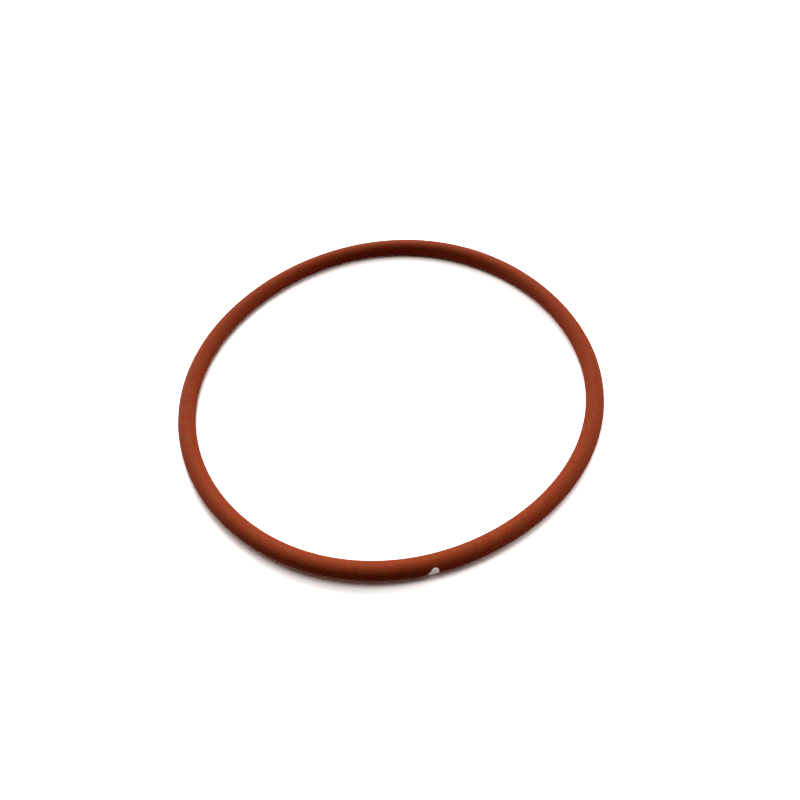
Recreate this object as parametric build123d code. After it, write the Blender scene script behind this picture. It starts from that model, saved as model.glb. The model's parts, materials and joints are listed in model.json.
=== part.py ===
from build123d import *

from math import sqrt
import os

# O-ring of fluorocarbon rubber, compression moulded in one piece and lying flat.
#
# The section is a true circle, carried once round the axis. The two halves of the mould met on the mid-plane,
# and the web of flash that filled the ring's middle was trimmed away flush. That leaves a narrow
# flat land round the inner edge, and its diameter is the ring's inside diameter.
#
# Frame: origin at the centre of the ring on its mid-plane, +Z along the ring's axis.

# Driving dimensions, mm
INSIDE_DIAMETER = 78.97    # across the land
SECTION_DIAMETER = 3.53
LAND_WIDTH = 0.30          # of the trimmed flash line, along the ring's axis

# Worked out from them
BORE_RADIUS = INSIDE_DIAMETER / 2
SECTION_RADIUS = SECTION_DIAMETER / 2
LAND_DEPTH = SECTION_RADIUS - sqrt(SECTION_RADIUS**2 - (LAND_WIDTH / 2) ** 2)
RING_RADIUS = BORE_RADIUS + SECTION_RADIUS - LAND_DEPTH    # from the axis to the centre of the section


def trimmed_section():
    """The section in the XZ plane: a circle, cut flat by the bore's wall on its inner side."""
    with BuildSketch(Plane.XZ) as section:
        with Locations((RING_RADIUS, 0)):
            Circle(SECTION_RADIUS)
        with Locations((BORE_RADIUS, 0)):
            Rectangle(
                SECTION_DIAMETER,
                SECTION_DIAMETER,
                align=(Align.MIN, Align.CENTER),
                mode=Mode.INTERSECT,
            )
    return section.sketch


def o_ring():
    """The whole ring: its section turned once round the axis."""
    ring = revolve(trimmed_section(), axis=Axis.Z, revolution_arc=360)
    ring.label = "o_ring"
    return ring


os.makedirs("parts", exist_ok=True)
export_step(o_ring(), "parts/o_ring.step")
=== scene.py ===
import json
from math import asin, cos, pi, radians, sin, tan

import bpy
from mathutils import Matrix, Vector


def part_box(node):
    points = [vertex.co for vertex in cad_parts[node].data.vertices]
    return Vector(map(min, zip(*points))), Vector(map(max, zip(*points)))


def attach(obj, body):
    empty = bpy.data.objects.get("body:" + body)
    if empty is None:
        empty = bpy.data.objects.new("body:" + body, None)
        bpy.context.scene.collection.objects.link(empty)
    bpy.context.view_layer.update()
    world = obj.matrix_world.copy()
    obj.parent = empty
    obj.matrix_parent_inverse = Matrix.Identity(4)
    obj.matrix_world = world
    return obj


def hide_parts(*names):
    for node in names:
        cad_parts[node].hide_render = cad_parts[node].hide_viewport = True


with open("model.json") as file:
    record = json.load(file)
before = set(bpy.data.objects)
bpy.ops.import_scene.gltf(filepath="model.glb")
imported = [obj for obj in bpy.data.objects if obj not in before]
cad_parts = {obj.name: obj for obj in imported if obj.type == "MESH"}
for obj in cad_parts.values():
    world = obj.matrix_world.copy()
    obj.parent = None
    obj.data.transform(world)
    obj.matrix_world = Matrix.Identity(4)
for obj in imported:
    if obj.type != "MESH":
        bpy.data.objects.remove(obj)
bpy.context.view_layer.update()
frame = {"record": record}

# A red-brown o-ring with a dab of white marking paint on its outer flank, lying loose on a white floor.

# ---------------------------------------------------------------- sizes, metres

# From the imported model: the ring's box gives its section, and its mount the flat land inside.
CAD_LOW, CAD_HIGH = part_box("o_ring")
OUTER_RADIUS = (CAD_HIGH.x - CAD_LOW.x) / 2
SECTION_RADIUS = (CAD_HIGH.z - CAD_LOW.z) / 2
RING_RADIUS = OUTER_RADIUS - SECTION_RADIUS
LAND_WIDTH = frame["record"]["mounts"][0]["dims"]["length_mm"] / 1000
FLOOR_HEIGHT = CAD_LOW.z

# The loose ring lies a little out of round. A wave is (lobes, height, direction of one high point in
# degrees).
RELAXED_LOBES = ((3, 0.000193, -33.9), (4, 0.000194, -16.7))
TANGENT_STEP = 1e-4    # radians, between the two points that give the centreline's direction

# The hairline left where the two mould halves met round the outer edge.
MOULD_LINE_WIDTH = 0.00012
MOULD_LINE_HEIGHT = 0.000015

RING_STATIONS = 1080
ARC_STEPS = 31    # along the upper half of the section, and as many along the lower

# The dab of paint on the outer flank. Its outline is a circle with waves, whose heights are shares of its
# radius.
MARK_DIRECTION = radians(-84.97)    # round the ring
MARK_TURN = radians(-5.4)    # round the section, up from its outer edge
MARK_RADIUS = 0.00109
MARK_OUTLINE = ((2, 0.192, 52.6), (3, 0.068, -39.1), (4, 0.052, -27.7), (9, 0.010, 10.0))
MARK_THICKNESS = 0.00004
MARK_SINK = MARK_THICKNESS / 2    # of its underside into the rubber
MARK_DOME_POWER = 6    # a high power keeps the top level almost to the rim
MARK_RINGS = 24
MARK_SPOKES = 96

# ---------------------------------------------------------------- rubber and paint

# A noise is (features per metre, detail, roughness), and a bump is (strength, height in metres).
RUBBER_RED = (0.276, 0.0328, 0.0128)
RUBBER_BROWN = (0.238, 0.0470, 0.0091)
RUBBER_CLOUDS = (750, 4, 0.6)
RUBBER_GRAIN = (3200, 2, 0.5)
GRAIN_DARK = 0.82    # times the colour, in the grain's dark specks
GRAIN_LIGHT = 1.14    # and in its light ones
RUBBER_GLOSS = 0.035
RUBBER_SMOOTHEST = 0.45
RUBBER_ROUGHEST = 0.57
SHEEN_SPOTS = (900, 4, 0.5)
RIPPLE = (350, 2, 0.5)
RIPPLE_BUMP = (0.25, 0.00006)
PORES = (5200, 3, 0.5)
PORES_BUMP = (0.35, 0.000012)

PAINT_THIN = (0.80, 0.78, 0.77)
PAINT_THICK = (0.92, 0.90, 0.89)
PAINT_MOTTLE = (1500, 3, 0.5)
PAINT_GRIT = (3000, 3, 0.5)
GRIT_BUMP = (0.4, 0.00002)
PAINT_ROUGHNESS = 0.55
# Painted light: the paint's own glow, which brightens the mark where it lies in shade on the flank.
MARK_PAINTED_LIGHT = 0.23

BLEND_START = 0.35    # noise at which one colour starts to turn into the other
BLEND_END = 0.65

# ---------------------------------------------------------------- camera and light

CAMERA_DISTANCE = 0.17574
CAMERA_ELEVATION = radians(51.985)
CAMERA_ROLL = radians(-8.084)
VIEW_CENTRE_RIGHT = 0.002579    # of the ring's centre, across the view
VIEW_CENTRE_DOWN = 0.002738
LENS = 38.7    # millimetres, as the sensor is
SENSOR = 36.0
NEAREST_SEEN = 0.01
FARTHEST_SEEN = 20.0

# Broad soft lamps: (azimuth from behind, elevation, distance, light that reaches the ring's centre). The
# angles are in degrees, and a lamp without a distance is far away. The floor has lamps of its own, so that
# the ring's shading and its shadow are set apart.
RING_LAMPS = {
    "back": (0, 38, None, 1.90),
    "back_high": (0, 60, None, 1.00),
    "back_left_low": (-45, 15, None, 1.31),
    "back_right": (60, 38, None, 1.11),
    "right_low": (90, 15, None, 1.08),
    "left_low": (-90, 15, None, 0.55),
}
FLOOR_LAMPS = {
    "floor_back": (0, 38, None, 1.60),
    "floor_back_left_low": (-45, 15, None, 0.94),
    "floor_back_right_high": (45, 60, None, 0.69),
    "floor_front_left_high": (-135, 60, None, 0.12),
    "floor_right_low_near": (90, 20, 0.16, 1.12),
    "floor_back_left_near": (-30, 38, 0.16, 0.81),
    "floor_above_near": (0, 88, 0.28, 0.80),
}
LAMP_ANGLE = radians(30)    # that each lamp fills, seen from the ring
FAR_LAMP_STAND = 1.0    # where a far lamp is drawn, which makes no difference to its light
WARM_LAMP = "floor_front_left_high"
WARM_COLOUR = (1.0, 0.62, 0.46)

FLOOR_WHITE = (1.0, 0.99, 0.97)
FLOOR_EXPOSURE = 2.0    # of the white floor in the camera's view
FLOOR_BOUNCE = (0.27, 0.06, 0.05)    # its colour for the light that it throws back
FLOOR_SIZE = 6.0


# ---------------------------------------------------------------- shapes

def waves(wave_table, angle):
    """How far a wavy outline stands out in that direction."""
    return sum(height * cos(lobes * (angle - radians(high))) for lobes, height, high in wave_table)


def centreline_point(angle):
    """The centre of the section, in that direction from the axis."""
    return Vector((cos(angle), sin(angle), 0)) * (RING_RADIUS + waves(RELAXED_LOBES, angle))


def centreline_frame(angle):
    """The centre of the section there, and the unit vector out of the ring across the centreline."""
    centre = centreline_point(angle)
    along = (centreline_point(angle + TANGENT_STEP) - centre).normalized()
    return centre, Vector((along.y, -along.x, 0))


def section_profile():
    """The section as (out, up) points: a circle with the mould's hairline outside and the land inside."""
    line_turn = asin(MOULD_LINE_WIDTH / 2 / SECTION_RADIUS)
    land_turn = pi - asin(LAND_WIDTH / 2 / SECTION_RADIUS)
    turns = [line_turn + (land_turn - line_turn) * k / ARC_STEPS for k in range(ARC_STEPS + 1)]
    arc = [(SECTION_RADIUS * cos(turn), SECTION_RADIUS * sin(turn)) for turn in turns]
    crest = (SECTION_RADIUS + MOULD_LINE_HEIGHT, 0.0)
    return [crest] + arc + [(out, -up) for out, up in reversed(arc)]


def smooth_piece(name, points, faces):
    """A smoothly shaded object of these points and faces, in the scene."""
    mesh = bpy.data.meshes.new(name)
    mesh.from_pydata(points, [], faces)
    mesh.polygons.foreach_set("use_smooth", [True] * len(mesh.polygons))
    mesh.update()
    piece = bpy.data.objects.new(name, mesh)
    bpy.context.scene.collection.objects.link(piece)
    return piece


def build_ring():
    """The ring as one closed mesh, a row of section points at each station."""
    profile = section_profile()
    count = len(profile)
    points, faces = [], []
    for station in range(RING_STATIONS):
        centre, out = centreline_frame(2 * pi * station / RING_STATIONS)
        points += [centre + out * reach + Vector((0, 0, up)) for reach, up in profile]
        row, after = station * count, (station + 1) % RING_STATIONS * count
        for k in range(count):
            following = (k + 1) % count
            faces.append((row + k, after + k, after + following, row + following))
    return smooth_piece("o_ring_rubber", points, faces)


def dab_point(across, spoke, lift):
    """A point that far above the rubber, at a share of the way from the dab's middle to its rim."""
    from_middle = MARK_RADIUS * (1 + waves(MARK_OUTLINE, spoke)) * across
    centre, out = centreline_frame(MARK_DIRECTION + from_middle * cos(spoke) / OUTER_RADIUS)
    turn = MARK_TURN + from_middle * sin(spoke) / SECTION_RADIUS
    reach = SECTION_RADIUS + lift
    return centre + out * (reach * cos(turn)) + Vector((0, 0, reach * sin(turn)))


def build_mark():
    """The dab of paint as a closed skin: a low dome on the tube, its underside just inside the rubber."""
    shares = [ring / MARK_RINGS for ring in range(1, MARK_RINGS + 1)]
    spokes = [2 * pi * k / MARK_SPOKES for k in range(MARK_SPOKES)]
    dome = [(across, MARK_THICKNESS * (1 - across**MARK_DOME_POWER)) for across in shares]
    underside = [(across, -MARK_SINK) for across in reversed(shares)]

    points = [dab_point(0, 0, MARK_THICKNESS)]
    points += [dab_point(across, spoke, lift) for across, lift in dome + underside for spoke in spokes]
    points.append(dab_point(0, 0, -MARK_SINK))

    faces = []
    bottom = len(points) - 1
    last = bottom - MARK_SPOKES
    for k in range(MARK_SPOKES):
        following = (k + 1) % MARK_SPOKES
        faces.append((0, 1 + k, 1 + following))
        for row in range(1, last, MARK_SPOKES):
            after = row + MARK_SPOKES
            faces.append((row + k, after + k, after + following, row + following))
        faces.append((last + k, bottom, last + following))
    return smooth_piece("paint_mark", points, faces)


# ---------------------------------------------------------------- materials

def new_material(name):
    """A material with its node tree and its Principled shader."""
    material = bpy.data.materials.new(name)
    material.use_nodes = True
    return material, material.node_tree, material.node_tree.nodes["Principled BSDF"]


def noise(tree, pattern):
    """Noise laid through the object in its own metres."""
    scale, detail, roughness = pattern
    place = tree.nodes.new("ShaderNodeTexCoord")
    node = tree.nodes.new("ShaderNodeTexNoise")
    node.inputs["Scale"].default_value = scale
    node.inputs["Detail"].default_value = detail
    node.inputs["Roughness"].default_value = roughness
    tree.links.new(place.outputs["Object"], node.inputs["Vector"])
    return node.outputs["Fac"]


def blend_colours(tree, factor, low, high, start=BLEND_START, end=BLEND_END):
    """A colour that goes from low to high as factor goes from start to end."""
    ramp = tree.nodes.new("ShaderNodeValToRGB")
    ramp.color_ramp.elements[0].position = start
    ramp.color_ramp.elements[0].color = (*low, 1)
    ramp.color_ramp.elements[1].position = end
    ramp.color_ramp.elements[1].color = (*high, 1)
    tree.links.new(factor, ramp.inputs["Fac"])
    return ramp.outputs["Color"]


def multiply(tree, first, second):
    """The product of two colours."""
    node = tree.nodes.new("ShaderNodeMix")
    node.data_type = "RGBA"
    node.blend_type = "MULTIPLY"
    node.inputs["Factor"].default_value = 1.0
    tree.links.new(first, node.inputs["A"])
    tree.links.new(second, node.inputs["B"])
    return node.outputs["Result"]


def bump(tree, pattern, size, below=None):
    """A surface raised by that noise, on top of the bump below if there is one."""
    strength, height = size
    node = tree.nodes.new("ShaderNodeBump")
    node.inputs["Strength"].default_value = strength
    node.inputs["Distance"].default_value = height
    tree.links.new(noise(tree, pattern), node.inputs["Height"])
    if below:
        tree.links.new(below, node.inputs["Normal"])
    return node.outputs["Normal"]


def grey(level):
    """The grey of that level, as a colour."""
    return (level, level, level)


def rubber_material():
    """Matte red-brown rubber: cloudy pigment, fine grain and the faint unevenness of a moulded skin."""
    material, tree, shader = new_material("fkm_rubber")
    clouds = blend_colours(tree, noise(tree, RUBBER_CLOUDS), RUBBER_RED, RUBBER_BROWN)
    grain = blend_colours(tree, noise(tree, RUBBER_GRAIN), grey(GRAIN_DARK), grey(GRAIN_LIGHT))
    tree.links.new(multiply(tree, clouds, grain), shader.inputs["Base Color"])

    sheen = tree.nodes.new("ShaderNodeMapRange")
    sheen.inputs["To Min"].default_value = RUBBER_SMOOTHEST
    sheen.inputs["To Max"].default_value = RUBBER_ROUGHEST
    tree.links.new(noise(tree, SHEEN_SPOTS), sheen.inputs["Value"])
    tree.links.new(sheen.outputs["Result"], shader.inputs["Roughness"])
    shader.inputs["Specular IOR Level"].default_value = RUBBER_GLOSS

    ripple = bump(tree, RIPPLE, RIPPLE_BUMP)
    tree.links.new(bump(tree, PORES, PORES_BUMP, ripple), shader.inputs["Normal"])
    return material


def paint_material():
    """White marking paint, mottled. Its faint glow is painted light, which brightens the mark on the shaded
    side that it lies on.
    """
    material, tree, shader = new_material("white_paint")
    colour = blend_colours(tree, noise(tree, PAINT_MOTTLE), PAINT_THIN, PAINT_THICK)
    tree.links.new(colour, shader.inputs["Base Color"])
    tree.links.new(colour, shader.inputs["Emission Color"])
    # painted light: a faint glow that brightens the mark in shade
    shader.inputs["Emission Strength"].default_value = MARK_PAINTED_LIGHT
    shader.inputs["Roughness"].default_value = PAINT_ROUGHNESS
    tree.links.new(bump(tree, PAINT_GRIT, GRIT_BUMP), shader.inputs["Normal"])
    return material


def seen_directly(tree):
    """1 for a ray that shows the background: from the camera, off gloss or through glass. 0 for any other."""
    path = tree.nodes.new("ShaderNodeLightPath")
    total = path.outputs["Is Camera Ray"]
    for name in ("Is Glossy Ray", "Is Transmission Ray"):
        larger = tree.nodes.new("ShaderNodeMath")
        larger.operation = "MAXIMUM"
        tree.links.new(total, larger.inputs[0])
        tree.links.new(path.outputs[name], larger.inputs[1])
        total = larger.outputs[0]
    return total


def floor_material():
    """White where it is seen, and a dull red for the light that it throws back at the ring."""
    material, tree, shader = new_material("floor")
    colour = blend_colours(tree, seen_directly(tree), FLOOR_BOUNCE, FLOOR_WHITE, 0, 1)
    from_camera = tree.nodes.new("ShaderNodeLightPath").outputs["Is Camera Ray"]
    exposure = blend_colours(tree, from_camera, grey(1.0), grey(FLOOR_EXPOSURE), 0, 1)
    tree.links.new(multiply(tree, colour, exposure), shader.inputs["Base Color"])
    shader.inputs["Roughness"].default_value = 1.0
    shader.inputs["Specular IOR Level"].default_value = 0.0
    return material


# ---------------------------------------------------------------- stage

def lay_floor():
    """A wide plain floor, level with the underside of the ring."""
    half = FLOOR_SIZE / 2
    corners = [(x, y, FLOOR_HEIGHT) for x, y in ((-half, -half), (half, -half), (half, half), (-half, half))]
    mesh = bpy.data.meshes.new("floor")
    mesh.from_pydata(corners, [], [(0, 1, 2, 3)])
    floor = bpy.data.objects.new("floor", mesh)
    bpy.context.scene.collection.objects.link(floor)
    floor.data.materials.append(floor_material())
    return floor


def far_light(name, strength):
    """A light so far away that it comes from the same side everywhere."""
    light = bpy.data.lights.new(name, "SUN")
    light.angle = LAMP_ANGLE
    light.energy = strength
    return light


def near_light(name, strength, distance):
    """A round light that is as broad and as strong as a far one, seen from that distance."""
    light = bpy.data.lights.new(name, "AREA")
    light.shape = "DISK"
    light.size = 2 * distance * tan(LAMP_ANGLE / 2)
    light.energy = strength * pi * distance**2
    return light


def hang_lamps(lamps, lit):
    """Hang a set of lamps that light only the objects in lit."""
    receivers = bpy.data.collections.new("lit_" + lit[0].name)
    for thing in lit:
        receivers.objects.link(thing)
    for name, (azimuth, elevation, distance, strength) in lamps.items():
        side, up = radians(azimuth), radians(elevation)
        towards = Vector((sin(side) * cos(up), cos(side) * cos(up), sin(up)))
        light = near_light(name, strength, distance) if distance else far_light(name, strength)
        if name == WARM_LAMP:
            light.color = WARM_COLOUR
        lamp = bpy.data.objects.new(name, light)
        lamp.rotation_mode = "QUATERNION"
        lamp.rotation_quaternion = towards.to_track_quat("Z", "Y")
        lamp.location = towards * (distance or FAR_LAMP_STAND)
        lamp.visible_camera = False
        bpy.context.scene.collection.objects.link(lamp)
        lamp.light_linking.receiver_collection = receivers


def fill_world():
    """White where it is seen, and dark for all other light."""
    world = bpy.data.worlds.new("studio")
    world.use_nodes = True
    tree = world.node_tree
    tree.links.new(seen_directly(tree), tree.nodes["Background"].inputs["Color"])
    bpy.context.scene.world = world


def place_camera():
    """The camera looks down at the ring from the front, a little rolled."""
    data = bpy.data.cameras.new("camera")
    data.sensor_width = SENSOR
    data.lens = LENS
    data.clip_start = NEAREST_SEEN
    data.clip_end = FARTHEST_SEEN
    camera = bpy.data.objects.new("camera", data)
    bpy.context.scene.collection.objects.link(camera)
    turn = Matrix.Rotation(pi / 2 - CAMERA_ELEVATION, 4, "X") @ Matrix.Rotation(CAMERA_ROLL, 4, "Z")
    offset = turn @ Vector((VIEW_CENTRE_RIGHT, -VIEW_CENTRE_DOWN, CAMERA_DISTANCE))
    camera.matrix_world = Matrix.Translation(offset) @ turn
    bpy.context.scene.camera = camera


# ---------------------------------------------------------------- the object

ring = build_ring()
ring.data.materials.append(rubber_material())
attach(ring, "root")
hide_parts("o_ring")

mark = build_mark()
mark.data.materials.append(paint_material())
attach(mark, "root")

floor = lay_floor()
hang_lamps(RING_LAMPS, [ring, mark])
hang_lamps(FLOOR_LAMPS, [floor])
fill_world()
place_camera()
bpy.context.scene.view_settings.view_transform = "Standard"
